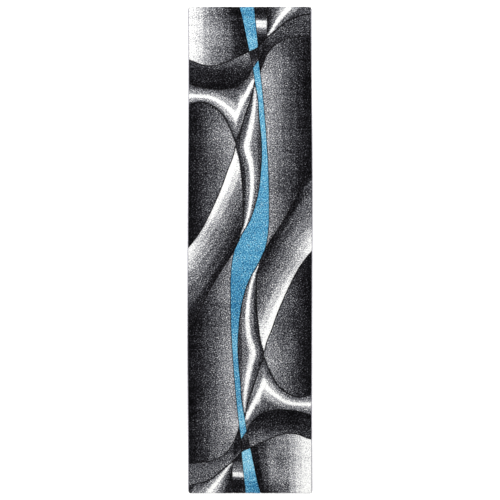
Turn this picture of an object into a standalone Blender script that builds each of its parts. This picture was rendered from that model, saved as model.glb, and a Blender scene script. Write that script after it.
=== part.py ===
"""Runner rug with carved pile: standing yarn on a woven ground, serged long sides, taped ends.

Metres, +Z up. The rug lies flat with its underside at z = 0 and its centre at x = y = 0.
It is long along Y. The pattern is the same turned half round its centre.
"""

import math

import bmesh
import bpy

MM = 0.001

# Overall sizes
RUG_WIDTH = 0.620
RUG_LENGTH = 2.400
CORNER_RADIUS = 0.008

# Layers, from the floor up
BACK_THICKNESS = 0.0008
GROUND_THICKNESS = 0.0022
PILE_HEIGHT = 0.0090
CLEARANCE = 0.0003

# Carving between the fields of pile
GROOVE_WIDTH = 0.0030
GROOVE_OVERCUT = 0.002

# Wrapped yarn along the long sides, and the cord that it is wrapped round. The yarn's lip reaches
# inwards past the cord, above and below the edge of the ground.
SERGE_WALL = 0.0008
SERGE_CROWN = 0.0020
SERGE_LIP = 0.0010
SERGE_ROUNDING = 0.0018
SELVEDGE_CORD_DIAMETER = 0.0026
SELVEDGE_CORD_SIDES = 12

# Tape under the cut ends, and the zigzag thread along its inner edge
TAPE_WIDTH = 0.030
STITCH_BAND = 0.0046
STITCH_PITCH = 0.012
THREAD_DIAMETER = 0.0006
THREAD_SIDES = 4

# How finely round shapes are faceted, and how close two points are before they are one
ARC_STEPS = 5
WELD_DISTANCE = 1e-6

BACK_TOP = BACK_THICKNESS
GROUND_BOTTOM = BACK_TOP + CLEARANCE
GROUND_TOP = GROUND_BOTTOM + GROUND_THICKNESS
PILE_BOTTOM = GROUND_TOP + CLEARANCE
PILE_TOP = PILE_BOTTOM + PILE_HEIGHT

# The serging's channel holds the cord and the ground's edge, so it is as high as the thicker of them
CORD_RADIUS = SELVEDGE_CORD_DIAMETER / 2
CHANNEL_RADIUS = max(CORD_RADIUS, GROUND_THICKNESS / 2) + CLEARANCE
CORD_X = RUG_WIDTH / 2 - SERGE_WALL - CHANNEL_RADIUS
CORD_Z = (GROUND_BOTTOM + GROUND_TOP) / 2
GROUND_WIDTH = 2 * (CORD_X - CORD_RADIUS - CLEARANCE)
SERGE_INNER_X = CORD_X - CORD_RADIUS - CLEARANCE - SERGE_LIP
SERGE_HEIGHT = CORD_Z + CHANNEL_RADIUS + SERGE_CROWN
PILE_WIDTH = 2 * (SERGE_INNER_X - CLEARANCE)
SERGE_LENGTH = RUG_LENGTH - 2 * CORNER_RADIUS
BACK_LENGTH = RUG_LENGTH - 2 * (TAPE_WIDTH + STITCH_BAND)

# The pattern is drawn once, in millimetres from the centre of a 620 x 2400 mm rug, and stretched to
# this rug's size. Each carved line is a smooth curve through its points. A line that leaves the rug
# ends outside it, and a line that meets another ends on it.
DRAWN_WIDTH = 620
DRAWN_LENGTH = 2400
STRETCH_X = RUG_WIDTH / (DRAWN_WIDTH * MM)
STRETCH_Y = RUG_LENGTH / (DRAWN_LENGTH * MM)
# The rug is cut from the loom a little off the pattern's middle
PATTERN_SHIFT_X = -0.001
PATTERN_SHIFT_Y = 0.002
CURVE_STEPS = 4

# Where one carved line ends on another. Both lines hold the same point, so they meet at any size.
RIBBON_CUT = (44, 938)
SLOT_HEEL = (80, 1040)
LEAF_TIP = (53, 866)
LEAF_HEEL = (75, 3)
BLADE_TIP = (24, 834)
BLADE_HEEL = (-64, 22)
FAN_TIP = (-72, 531)
OVAL_TIP = (-70, 514)


def turned(point):
    """The same point on the other copy of the pattern, half a turn round the centre."""
    return -point[0], -point[1]


CARVED_LINES = {
    "ribbon_edge": [
        (-56, 1215), (-37, 1144), (-16, 1044), (-3, 982), (15, 896), BLADE_TIP, (40, 738), (45, 659),
        (53, 580), (58, 470), (53, 383), (45, 304), (28, 225), (1, 146), (-43, 67), BLADE_HEEL,
        turned(LEAF_HEEL),
        (-92, -106), (-94, -225), (-92, -360), (-85, -501), (-75, -640), (-64, -770), turned(LEAF_TIP),
        turned(RIBBON_CUT), (-41, -1010), (-33, -1094), (-21, -1215),
    ],
    "band_top": [
        (-325, 944), (-281, 930), (-236, 913), (-174, 910), (-116, 929), (-63, 951), (-2, 979),
        (41, 1000), SLOT_HEEL, (139, 1089), (206, 1139), (325, 1169),
    ],
    "band_bottom": [
        (-325, 826), (-257, 803), (-200, 793), (-147, 790), (-100, 796), (-62, 807), (-33, 830),
        (-8, 853), (15, 896), RIBBON_CUT,
    ],
    "leaf_top": [
        LEAF_TIP, (58, 893), (71, 926), (84, 957), (113, 998), (150, 1027), (220, 1048), (325, 1056),
    ],
    "leaf_bottom": [
        LEAF_HEEL, (95, 37), (130, 90), (170, 154), (210, 225), (245, 300), (275, 352), (325, 405),
    ],
    "long_arc": [
        (-325, 708), (-255, 728), (-217, 724), (-179, 704), (-135, 665), (-102, 604), (-80, 556),
        FAN_TIP, OVAL_TIP, (-53, 451), (-44, 385), (-36, 310), (-33, 220), (-33, 165),
        (-38, 113), (-51, 66), BLADE_HEEL,
    ],
    "oval_bottom": [
        OVAL_TIP, (-85, 454), (-108, 397), (-131, 330), (-158, 263), (-188, 196), (-232, 108),
        (-275, 44), (-325, -15),
    ],
    "fan_edge": [BLADE_TIP, (17, 792), (1, 733), (-29, 646), (-50, 581), FAN_TIP],
    "slot_side": [(81, 1215), (88, 1150), (88, 1089), SLOT_HEEL],
}

# A point inside each field of pile, on the same drawing, and the field's main yarn colour
FIELDS = {
    "blue_ribbon_end": ((-5, 1100), "blue"),
    "drum_field": ((-180, 1050), "grey"),
    "slot_field": ((57, 1110), "charcoal"),
    "corner_field": ((160, 1160), "grey"),
    "dark_band_left": ((-180, 860), "black"),
    "band_crossing": ((20, 950), "black"),
    "dark_band_right": ((200, 1090), "black"),
    "leaf_field": ((200, 800), "grey"),
    "fan_field": ((-150, 750), "silver"),
    "blade_field": ((0, 600), "silver"),
    "oval_field": ((-200, 400), "charcoal"),
    "swoosh_field": ((-110, 150), "silver"),
}
MIDDLE_FIELD = ("blue_ribbon_middle", (0, 0), "blue")

# Colour, roughness, metallic
FINISHES = {
    "blue": ((0.085, 0.390, 0.650), 0.90, 0.0),
    "black": ((0.008, 0.008, 0.010), 0.92, 0.0),
    "charcoal": ((0.045, 0.045, 0.050), 0.92, 0.0),
    "grey": ((0.150, 0.150, 0.160), 0.92, 0.0),
    "silver": ((0.450, 0.450, 0.460), 0.90, 0.0),
    "serging": ((0.640, 0.630, 0.680), 0.75, 0.0),
    "ground": ((0.300, 0.270, 0.220), 0.95, 0.0),
    "cord": ((0.560, 0.520, 0.440), 0.90, 0.0),
    "back": ((0.420, 0.350, 0.240), 0.85, 0.0),
    "tape": ((0.500, 0.470, 0.400), 0.85, 0.0),
    "thread": ((0.700, 0.680, 0.640), 0.70, 0.0),
}


def clear_scene():
    for obj in list(bpy.data.objects):
        bpy.data.objects.remove(obj, do_unlink=True)


def new_collection(name):
    collection = bpy.data.collections.new(name)
    bpy.context.scene.collection.children.link(collection)
    return collection


def finish(obj, finish_name):
    """Gives the object a material of its own."""
    colour, roughness, metallic = FINISHES[finish_name]
    material = bpy.data.materials.new(obj.name)
    material.use_nodes = True
    shader = material.node_tree.nodes["Principled BSDF"]
    shader.inputs["Base Color"].default_value = (*colour, 1)
    shader.inputs["Roughness"].default_value = roughness
    shader.inputs["Metallic"].default_value = metallic
    obj.data.materials.clear()
    obj.data.materials.append(material)


def rounded_rectangle(width, length, radii):
    """Outline in order from the corner at +X +Y, with one radius for the north and one for the south."""
    outline = []
    for quarter, (side, end) in enumerate([(1, 1), (-1, 1), (-1, -1), (1, -1)]):
        radius = radii[0] if end > 0 else radii[1]
        centre_x = side * (width / 2 - radius)
        centre_y = end * (length / 2 - radius)
        if radius == 0:
            outline.append((centre_x, centre_y))
            continue
        for step in range(ARC_STEPS + 1):
            angle = (quarter + step / ARC_STEPS) * math.pi / 2
            outline.append((centre_x + radius * math.cos(angle), centre_y + radius * math.sin(angle)))
    return outline


def poly_spline(curve, points, closed):
    spline = curve.splines.new("POLY")
    spline.points.add(len(points) - 1)
    for target, point in zip(spline.points, points):
        target.co = (*point, 0, 1) if len(point) == 2 else (*point, 1)
    spline.use_cyclic_u = closed


def sheet_object(name, outline, bottom, top, collection):
    """A flat outline filled and given its thickness, from bottom to top."""
    curve = bpy.data.curves.new(name, "CURVE")
    curve.dimensions = "2D"
    curve.fill_mode = "BOTH"
    curve.extrude = (top - bottom) / 2
    poly_spline(curve, outline, closed=True)
    obj = bpy.data.objects.new(name, curve)
    obj.location.z = (bottom + top) / 2
    collection.objects.link(obj)
    return obj


def tube_object(name, points, diameter, sides, collection):
    curve = bpy.data.curves.new(name, "CURVE")
    curve.dimensions = "3D"
    curve.bevel_depth = diameter / 2
    curve.bevel_resolution = (sides - 4) // 2
    curve.use_fill_caps = True
    poly_spline(curve, points, closed=False)
    obj = bpy.data.objects.new(name, curve)
    collection.objects.link(obj)
    return obj


def made_mesh(obj, collection):
    """Replaces a curve object with the mesh that it evaluates to, in world space, caps welded."""
    bpy.context.view_layer.update()
    evaluated = obj.evaluated_get(bpy.context.evaluated_depsgraph_get())
    mesh = bpy.data.meshes.new_from_object(evaluated)
    mesh.transform(obj.matrix_world)
    name = obj.name
    bpy.data.objects.remove(obj, do_unlink=True)
    work = bmesh.new()
    work.from_mesh(mesh)
    bmesh.ops.remove_doubles(work, verts=work.verts, dist=WELD_DISTANCE)
    bmesh.ops.recalc_face_normals(work, faces=work.faces)
    work.to_mesh(mesh)
    work.free()
    made = bpy.data.objects.new(name, mesh)
    collection.objects.link(made)
    return made


def on_rug(point, turn):
    """A point of the drawing on this rug. turn is 1 for the north copy and -1 for the south one."""
    x, y = point
    return (turn * x * MM * STRETCH_X + PATTERN_SHIFT_X,
            turn * y * MM * STRETCH_Y + PATTERN_SHIFT_Y)


def groove_cutter(name, points, turn, collection):
    """A thin wall along a carved line, a groove wide, through the whole height of the pile."""
    curve = bpy.data.curves.new(name, "CURVE")
    curve.dimensions = "2D"
    curve.fill_mode = "NONE"
    curve.resolution_u = CURVE_STEPS
    curve.extrude = PILE_HEIGHT / 2 + GROOVE_OVERCUT
    spline = curve.splines.new("BEZIER")
    spline.bezier_points.add(len(points) - 1)
    for target, point in zip(spline.bezier_points, points):
        target.co = (*on_rug(point, turn), 0)
        target.handle_left_type = "AUTO"
        target.handle_right_type = "AUTO"
    wall = bpy.data.objects.new(name, curve)
    wall.location.z = (PILE_BOTTOM + PILE_TOP) / 2
    collection.objects.link(wall)
    wall = made_mesh(wall, collection)
    thicken = wall.modifiers.new("groove width", "SOLIDIFY")
    thicken.thickness = GROOVE_WIDTH
    thicken.offset = 0
    thicken.use_even_offset = True
    wall.hide_render = True
    wall.display_type = "WIRE"
    return wall


def carve_pile(parts, cutters):
    """Cuts the slab of pile along every carved line, and names each field that is left."""
    outline = rounded_rectangle(PILE_WIDTH, RUG_LENGTH, (CORNER_RADIUS, CORNER_RADIUS))
    slab = made_mesh(sheet_object("pile", outline, PILE_BOTTOM, PILE_TOP, parts), parts)
    for name, points in CARVED_LINES.items():
        for end, turn in (("north", 1), ("south", -1)):
            groove_cutter(f"groove_{name}_{end}", points, turn, cutters)
    carve = slab.modifiers.new("carving", "BOOLEAN")
    carve.operation = "DIFFERENCE"
    carve.operand_type = "COLLECTION"
    carve.collection = cutters
    carve.solver = "EXACT"
    bpy.ops.object.select_all(action="DESELECT")
    slab.select_set(True)
    bpy.context.view_layer.objects.active = slab
    bpy.ops.object.modifier_apply(modifier=carve.name)
    bpy.ops.mesh.separate(type="LOOSE")
    name_fields(list(bpy.context.selected_objects))


def name_fields(pieces):
    """Finds the piece of pile under each field's point. What lies under no point is waste."""
    wanted = [(MIDDLE_FIELD[0], MIDDLE_FIELD[1], 1, MIDDLE_FIELD[2])]
    for name, (point, colour) in FIELDS.items():
        wanted.append((f"{name}_north", point, 1, colour))
        wanted.append((f"{name}_south", point, -1, colour))
    for name, point, turn, colour in wanted:
        above = (*on_rug(point, turn), PILE_TOP + GROOVE_OVERCUT)
        for piece in pieces:
            if piece.ray_cast(above, (0, 0, -1))[0]:
                piece.name = name
                piece.data.name = name
                finish(piece, colour)
                pieces.remove(piece)
                break
    for waste in pieces:
        bpy.data.objects.remove(waste, do_unlink=True)


def arc(centre_x, centre_z, radius, start, end):
    """Points along an arc in a section, with its angles counted in quarter turns from +X."""
    steps = round(abs(end - start) * ARC_STEPS)
    angles = [(start + (end - start) * step / steps) * math.pi / 2 for step in range(steps + 1)]
    return [(centre_x + radius * math.cos(a), centre_z + radius * math.sin(a)) for a in angles]


def serge_profile():
    """Section of the wrapped yarn at the +X side: rounded outside, with its channel open inwards."""
    rounding_x = RUG_WIDTH / 2 - SERGE_ROUNDING
    return [
        (SERGE_INNER_X, 0),
        *arc(rounding_x, SERGE_ROUNDING, SERGE_ROUNDING, -1, 0),
        *arc(rounding_x, SERGE_HEIGHT - SERGE_ROUNDING, SERGE_ROUNDING, 0, 1),
        (SERGE_INNER_X, SERGE_HEIGHT),
        (SERGE_INNER_X, CORD_Z + CHANNEL_RADIUS),
        *arc(CORD_X, CORD_Z, CHANNEL_RADIUS, 1, -1),
        (SERGE_INNER_X, CORD_Z - CHANNEL_RADIUS),
    ]


def long_side(side, turn, parts):
    """The serging and its cord along one long side. The left one is the right one turned half round."""
    serging = sheet_object(
        f"serged_edge_{side}", serge_profile(), -SERGE_LENGTH / 2, SERGE_LENGTH / 2, parts
    )
    serging.rotation_euler = (math.pi / 2, 0, turn)
    finish(serging, "serging")
    ends = [(CORD_X, -SERGE_LENGTH / 2, CORD_Z), (CORD_X, SERGE_LENGTH / 2, CORD_Z)]
    cord = tube_object(
        f"selvedge_cord_{side}", ends, SELVEDGE_CORD_DIAMETER, SELVEDGE_CORD_SIDES, parts
    )
    cord.rotation_euler.z = turn
    finish(cord, "cord")


def rug_end(end, turn, parts):
    """The tape under one end, and the zigzag thread between it and the back coat."""
    outline = rounded_rectangle(PILE_WIDTH, TAPE_WIDTH, (CORNER_RADIUS, 0))
    tape = sheet_object(f"hem_tape_{end}", outline, 0, BACK_TOP, parts)
    tape.rotation_euler.z = turn
    tape.location.y = math.cos(turn) * (RUG_LENGTH - TAPE_WIDTH) / 2
    finish(tape, "tape")

    swing = STITCH_BAND / 2 - CLEARANCE - THREAD_DIAMETER
    middle = RUG_LENGTH / 2 - TAPE_WIDTH - STITCH_BAND / 2
    turns = round((PILE_WIDTH - 2 * CORNER_RADIUS) / (STITCH_PITCH / 2))
    points = [
        ((index - turns / 2) * STITCH_PITCH / 2, middle + swing * (-1) ** index, BACK_TOP / 2)
        for index in range(turns + 1)
    ]
    thread = tube_object(f"hem_stitching_{end}", points, THREAD_DIAMETER, THREAD_SIDES, parts)
    thread.rotation_euler.z = turn
    finish(thread, "thread")


def main():
    clear_scene()
    parts = new_collection("runner_rug")
    cutters = new_collection("carving_cutters")
    cutters.hide_render = True

    carve_pile(parts, cutters)

    square = (0, 0)
    round_corners = (CORNER_RADIUS, CORNER_RADIUS)
    ground_outline = rounded_rectangle(GROUND_WIDTH, RUG_LENGTH, round_corners)
    ground = sheet_object("ground_weave", ground_outline, GROUND_BOTTOM, GROUND_TOP, parts)
    finish(ground, "ground")
    back_outline = rounded_rectangle(PILE_WIDTH, BACK_LENGTH, square)
    back = sheet_object("back_coat", back_outline, 0, BACK_TOP, parts)
    finish(back, "back")

    for side, turn in (("right", 0), ("left", math.pi)):
        long_side(side, turn, parts)
    for end, turn in (("north", 0), ("south", math.pi)):
        rug_end(end, turn, parts)


main()
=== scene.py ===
import math
import bpy
import numpy as np
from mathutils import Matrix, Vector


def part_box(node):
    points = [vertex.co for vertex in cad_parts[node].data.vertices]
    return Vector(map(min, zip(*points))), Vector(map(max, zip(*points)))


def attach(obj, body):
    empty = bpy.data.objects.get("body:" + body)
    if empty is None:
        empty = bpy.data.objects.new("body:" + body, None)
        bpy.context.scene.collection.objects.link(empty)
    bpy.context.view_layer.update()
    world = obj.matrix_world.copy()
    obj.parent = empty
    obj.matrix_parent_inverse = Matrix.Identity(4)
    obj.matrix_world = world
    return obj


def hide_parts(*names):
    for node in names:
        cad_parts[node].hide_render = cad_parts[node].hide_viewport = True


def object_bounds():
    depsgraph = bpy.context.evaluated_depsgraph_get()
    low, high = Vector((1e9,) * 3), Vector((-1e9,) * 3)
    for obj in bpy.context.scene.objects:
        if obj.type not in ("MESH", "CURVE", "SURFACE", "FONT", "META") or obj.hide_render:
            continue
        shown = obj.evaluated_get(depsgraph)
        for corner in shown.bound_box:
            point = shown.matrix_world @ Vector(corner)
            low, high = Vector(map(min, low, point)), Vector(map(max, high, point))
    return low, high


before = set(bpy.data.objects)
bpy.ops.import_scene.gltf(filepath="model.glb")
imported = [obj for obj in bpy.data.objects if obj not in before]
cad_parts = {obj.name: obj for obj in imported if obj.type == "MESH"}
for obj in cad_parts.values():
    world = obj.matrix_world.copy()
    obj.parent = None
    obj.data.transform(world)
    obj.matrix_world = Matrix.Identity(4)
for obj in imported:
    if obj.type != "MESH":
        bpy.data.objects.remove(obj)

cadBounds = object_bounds()
mm = 0.001


# small helpers

def colour(code):
    # sRGB hex turned into the linear values that Blender works with
    parts = [int(code[i:i + 2], 16) / 255 for i in (1, 3, 5)]
    return [c / 12.92 if c <= 0.04045 else ((c + 0.055) / 1.055) ** 2.4 for c in parts] + [1.0]


def newMaterial(name):
    material = bpy.data.materials.new(name)
    material.use_nodes = True
    material.node_tree.nodes.clear()
    return material, material.node_tree


def addNode(tree, kind, settings=None, values=None, links=None):
    made = tree.nodes.new(kind)
    for name, value in (settings or {}).items():
        setattr(made, name, value)
    for socket, value in (values or {}).items():
        made.inputs[socket].default_value = value
    for socket, source in (links or {}).items():
        tree.links.new(source, made.inputs[socket])
    return made


def readValues(items, key, width=1, kind=np.int32):
    values = np.empty(len(items) * width, dtype=kind)
    items.foreach_get(key, values)
    return values.reshape(-1, width) if width > 1 else values


def readPlaces(mesh):
    return readValues(mesh.vertices, "co", 3, np.float32).astype(np.float64)


def writePlaces(mesh, places):
    mesh.vertices.foreach_set("co", places.astype(np.float32).ravel())
    mesh.update()


def writeMap(mesh, u, v):
    # the piece's own map, kept just inside its square
    layer = mesh.uv_layers.new(name="OFBake")
    flat = np.stack([u, v], axis=1).clip(0.001, 0.999)
    layer.uv.foreach_set("vector", flat.astype(np.float32).ravel())


# yarn tone, and painted shade for hollows and hidden sides: 1 where lit, 0 in full shade
def writeYarn(mesh, tone, paintedShade):
    for name, values in (("yarnTone", tone), ("paintedPileShade", paintedShade)):
        layer = mesh.attributes.new(name, "FLOAT", "POINT")
        layer.data.foreach_set("value", values.astype(np.float32))


def nothingSelected():
    if bpy.context.object and bpy.context.object.mode != "OBJECT":
        bpy.ops.object.mode_set(mode="OBJECT")
    bpy.ops.object.select_all(action="DESELECT")


def pick(mesh, kind, **chosen):
    # edit mode, with only the chosen edges or faces selected
    bpy.ops.object.mode_set(mode="EDIT")
    bpy.ops.mesh.select_mode(type=kind)
    bpy.ops.mesh.select_all(action="DESELECT")
    bpy.ops.object.mode_set(mode="OBJECT")
    for items, flags in chosen.items():
        getattr(mesh, items).foreach_set("select", flags)
    bpy.ops.object.mode_set(mode="EDIT")


def faceOutwards():
    # every face turned outwards, and edit mode left
    bpy.ops.mesh.select_all(action="SELECT")
    bpy.ops.mesh.normals_make_consistent(inside=False)
    bpy.ops.object.mode_set(mode="OBJECT")


def addGrid(name, cols, rows, centre, size):
    nothingSelected()
    bpy.ops.mesh.primitive_grid_add(x_subdivisions=cols, y_subdivisions=rows, size=1, location=centre)
    piece = bpy.context.object
    piece.name = piece.data.name = name
    piece.scale = (size[0], size[1], 1)
    bpy.ops.object.transform_apply(location=True, rotation=True, scale=True)
    return piece


def modify(piece, name, kind, **settings):
    modifier = piece.modifiers.new(name, kind)
    for key, value in settings.items():
        setattr(modifier, key, value)
    bpy.ops.object.modifier_apply(modifier=modifier.name)


def smoothStep(value):
    value = np.clip(value, 0, 1)
    return value * value * (3 - 2 * value)


# how the rug lies

lie = {
    "sway": 1.3 * mm,          # both long sides sway together by this much
    "swayLength": 1.9,
    "belly": 0.4 * mm,         # each side stands out at the middle
    "northDraw": 4.0 * mm,     # and draws in again towards the ends
    "northFrom": (0.2, 0.8),   # from this far north of the middle, growing over this length
    "southDraw": 2.3 * mm,
    "southFrom": (0.4, 0.6),
    "cornerLift": 1.2 * mm,    # corners that never lie quite flat after unrolling
    "cornerX": (0.17, 0.15),
    "cornerY": (1.05, 0.16),
    "ripple": 0.5 * mm,
    "rippleTurns": (6.0, 7.1), # in radians for each metre across and along
}


def growing(along, start):
    return smoothStep((along - start[0]) / start[1])


def layDown(piece):
    # one gentle unevenness for every piece, so that they stay fitted to each other
    at = readPlaces(piece.data)
    x, y = at[:, 0].copy(), at[:, 1].copy()
    draw = lie["northDraw"] * growing(y, lie["northFrom"]) + lie["southDraw"] * growing(-y, lie["southFrom"])
    at[:, 0] += lie["sway"] * np.sin(2 * math.pi * y / lie["swayLength"])
    at[:, 0] += (lie["belly"] - draw) * x / cadBounds[1][0]
    corner = growing(np.abs(x), lie["cornerX"]) * growing(np.abs(y), lie["cornerY"])
    across, along = lie["rippleTurns"]
    ripple = 0.5 + 0.5 * np.sin(y * along + 0.6 + np.sin(x * across))
    at[:, 2] += lie["cornerLift"] * corner + lie["ripple"] * ripple
    writePlaces(piece.data, at)


def settleIn(piece, material, node):
    piece.data.materials.append(material)
    layDown(piece)
    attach(piece, "root")
    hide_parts(node)
    return piece


# the loom: one lattice of tufts for the whole rug

loom = {
    "size": (0.66, 2.48),      # the lattice reaches a little past the rug
    "gauge": 4.3 * mm,         # from one tuft to the next across the rug, drawn coarser than the real 2 to 3 mm
    "stitch": 4.0 * mm,        # and along it, every second row set half a gauge over
    "jitter": 0.36,            # how far a tuft wanders, in gauges
    "mixing": 0.7,             # how much a tuft's yarn differs from its neighbours' yarn
    "grid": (1.45 * mm),
    "valley": 9.6 * mm,        # height of the gap between tufts
    "tip": 12.4 * mm,          # height of a tuft's tip
    "tipSpread": 0.45 * mm,
    "crown": 1.25,             # how soon a tuft reaches its full height, away from the gap
    "seed": 71,
}
rng = np.random.default_rng(loom["seed"])
tuftCols = int(loom["size"][0] / loom["gauge"])
tuftRows = int(loom["size"][1] / loom["stitch"])
oddRow = np.arange(tuftRows)[:, None] % 2
tuftX = (np.arange(tuftCols)[None, :] - tuftCols / 2 + 0.5 * oddRow) * loom["gauge"]
tuftY = np.repeat((np.arange(tuftRows)[:, None] - tuftRows / 2) * loom["stitch"], tuftCols, axis=1)
tuftX = tuftX + rng.uniform(-1, 1, tuftX.shape) * loom["jitter"] * loom["gauge"]
tuftY = tuftY + rng.uniform(-1, 1, tuftY.shape) * loom["jitter"] * loom["stitch"]
tuftTip = loom["tip"] + rng.normal(0, 1, tuftX.shape).clip(-2, 2) * loom["tipSpread"]
tuftGrain = rng.normal(0, 1, tuftX.shape).clip(-2.4, 2.4)
sameRow = np.roll(tuftGrain, 1, 1) + np.roll(tuftGrain, -1, 1)
sameCol = np.roll(tuftGrain, 1, 0) + np.roll(tuftGrain, -1, 0)
nextCol = np.where(oddRow == 1, np.roll(sameCol, -1, 1), np.roll(sameCol, 1, 1))
tuftGrain = tuftGrain - loom["mixing"] * (sameRow + sameCol + nextCol) / 6


def softNoise(x, y, sizeX, sizeY, seed):
    # random values on a lattice, smoothly joined
    width, length = 0.9, 2.8
    field = np.random.default_rng(seed).uniform(-1, 1, (int(length / sizeY) + 4, int(width / sizeX) + 4))
    gx, gy = (x + width / 2) / sizeX, (y + length / 2) / sizeY
    ix, iy = np.floor(gx).astype(int), np.floor(gy).astype(int)
    fx, fy = smoothStep(gx - ix), smoothStep(gy - iy)
    near = field[iy, ix] * (1 - fx) + field[iy, ix + 1] * fx
    far = field[iy + 1, ix] * (1 - fx) + field[iy + 1, ix + 1] * fx
    return near * (1 - fy) + far * fy


def nearestTufts(x, y):
    # row and column of the nearest tuft, and its distance and the next one's
    row0 = np.rint(y / loom["stitch"] + tuftRows / 2).astype(int)
    best = np.full(x.shape, 9.0)
    second = best.copy()
    bestRow = np.zeros(x.shape, int)
    bestCol = bestRow.copy()
    for stepRow in (-1, 0, 1):
        row = (row0 + stepRow).clip(0, tuftRows - 1)
        col0 = np.rint(x / loom["gauge"] + tuftCols / 2 - 0.5 * (row % 2)).astype(int)
        for stepCol in (-1, 0, 1):
            col = (col0 + stepCol).clip(0, tuftCols - 1)
            away = np.hypot(x - tuftX[row, col], y - tuftY[row, col])
            closer = away < best
            second = np.where(closer, best, np.minimum(second, away))
            best = np.where(closer, away, best)
            bestRow = np.where(closer, row, bestRow)
            bestCol = np.where(closer, col, bestCol)
    return bestRow, bestCol, best, second


def topOutline(nodeName):
    # edges round a CAD field's top, each with the field on its left; the mesh is loose triangles
    level, weld = 0.01 * mm, 0.002 * mm
    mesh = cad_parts[nodeName].data
    at = readPlaces(mesh)
    tri = at[readValues(mesh.loops, "vertex_index").reshape(-1, 3)]
    tri = tri[(tri[:, :, 2] > at[:, 2].max() - level).all(axis=1)]
    key = np.rint(tri[:, :, :2] / weld).astype(np.int64)
    seen = {}
    for points, keys in zip(tri, key):
        for i, j in ((0, 1), (1, 2), (2, 0)):
            a, b = tuple(keys[i]), tuple(keys[j])
            if (b, a) in seen:
                del seen[(b, a)]
            else:
                seen[(a, b)] = (points[i, 0], points[i, 1], points[j, 0], points[j, 1])
    return np.array(list(seen.values()))


def nearestOnOutline(points, outline):
    # distance to the outline, the nearest point on it and the way out of the field there
    distance = np.empty(len(points))
    nearest = np.empty((len(points), 2))
    outward = np.empty((len(points), 2))
    start, run = outline[:, :2], outline[:, 2:] - outline[:, :2]
    length2 = (run ** 2).sum(axis=1).clip(1e-14)
    normal = np.stack([run[:, 1], -run[:, 0]], axis=1) / np.sqrt(length2)[:, None]
    batch = 4000               # so many points at a time, to spare memory
    for first in range(0, len(points), batch):
        some = slice(first, first + batch)
        offset = points[some][:, None, :] - start[None]
        share = ((offset * run[None]).sum(axis=2) / length2).clip(0, 1)
        gap = offset - share[:, :, None] * run[None]
        d2 = (gap ** 2).sum(axis=2)
        which = d2.argmin(axis=1)
        rows = np.arange(len(which))
        distance[some] = np.sqrt(d2[rows, which])
        nearest[some] = points[some] - gap[rows, which]
        outward[some] = normal[which]
    return distance, nearest, outward


def nearEdge(points, outline):
    # distance and way out for points close to the outline; far ones are left at one metre
    cell = 6 * mm
    low = points.min(axis=0)
    where = np.floor((points - low) / cell).astype(int) + 2
    marked = np.zeros(where.max(axis=0) + 4, bool)
    for ax, ay, bx, by in outline:
        count = max(2, int(math.hypot(bx - ax, by - ay) / (cell / 2)) + 1)
        line = np.stack([np.linspace(ax, bx, count), np.linspace(ay, by, count)], axis=1)
        for i, j in np.floor((line - low) / cell).astype(int) + 2:
            marked[max(i - 1, 0):i + 2, max(j - 1, 0):j + 2] = True
    close = marked[where[:, 0], where[:, 1]]
    distance = np.ones(len(points))
    outward = np.zeros((len(points), 2))
    distance[close], _, outward[close] = nearestOnOutline(points[close], outline)
    return distance, outward


def cellsInside(outline, x0, y0, step, cols, rows):
    # which lattice cells have their centre in the outline, by crossings along each row
    centreX = x0 + (np.arange(cols) + 0.5) * step
    centreY = y0 + (np.arange(rows) + 0.5) * step
    inside = np.zeros((rows, cols), bool)
    for ax, ay, bx, by in outline:
        hit = np.nonzero((centreY >= min(ay, by)) & (centreY < max(ay, by)))[0]
        if len(hit):
            cross = ax + (centreY[hit] - ay) * (bx - ax) / (by - ay)
            inside[hit] ^= centreX[None, :] < cross[:, None]
    return inside


def tidyCells(inside):
    # no cells that touch only at a corner, and only the largest island
    while True:
        a, b = inside[:-1, :-1], inside[1:, 1:]
        c, d = inside[:-1, 1:], inside[1:, :-1]
        pinchOne = a & b & ~c & ~d
        pinchTwo = c & d & ~a & ~b
        if not (pinchOne.any() or pinchTwo.any()):
            break
        inside[:-1, :-1] &= ~pinchOne
        inside[:-1, 1:] &= ~pinchTwo
    island = np.zeros(inside.shape, int)
    sizes = [0]
    for seed in zip(*np.nonzero(inside)):
        if island[seed]:
            continue
        mark, todo, size = len(sizes), [seed], 0
        island[seed] = mark
        while todo:
            r, c = todo.pop()
            size += 1
            for near in ((r + 1, c), (r - 1, c), (r, c + 1), (r, c - 1)):
                onGrid = 0 <= near[0] < inside.shape[0] and 0 <= near[1] < inside.shape[1]
                if onGrid and inside[near] and not island[near]:
                    island[near] = mark
                    todo.append(near)
        sizes.append(size)
    return island == int(np.argmax(sizes))


def cutFromGrid(name, outline, low, high):
    # a fine grid over the field, cut back to the cells inside its outline
    step = loom["grid"]
    x0, y0 = math.floor(low[0] / step) * step, math.floor(low[1] / step) * step
    cols, rows = math.ceil((high[0] - x0) / step), math.ceil((high[1] - y0) / step)
    inside = tidyCells(cellsInside(outline, x0, y0, step, cols, rows))
    piece = addGrid(name, cols, rows, (x0 + cols * step / 2, y0 + rows * step / 2, high[2]),
                    (cols * step, rows * step))
    mesh = piece.data
    centre = readPlaces(mesh)[readValues(mesh.loops, "vertex_index").reshape(-1, 4)].mean(axis=1)
    col = np.floor((centre[:, 0] - x0) / step).astype(int).clip(0, cols - 1)
    row = np.floor((centre[:, 1] - y0) / step).astype(int).clip(0, rows - 1)
    pick(mesh, "FACE", polygons=~inside[row, col])
    bpy.ops.mesh.delete(type="FACE")
    bpy.ops.object.mode_set(mode="OBJECT")
    return piece


def rimOf(mesh):
    # edges with a face on one side only, and their points
    rim = np.bincount(readValues(mesh.loops, "edge_index"), minlength=len(mesh.edges)) == 1
    points = np.zeros(len(mesh.vertices), bool)
    points[readValues(mesh.edges, "vertices", 2)[rim]] = True
    return rim, points


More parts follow.
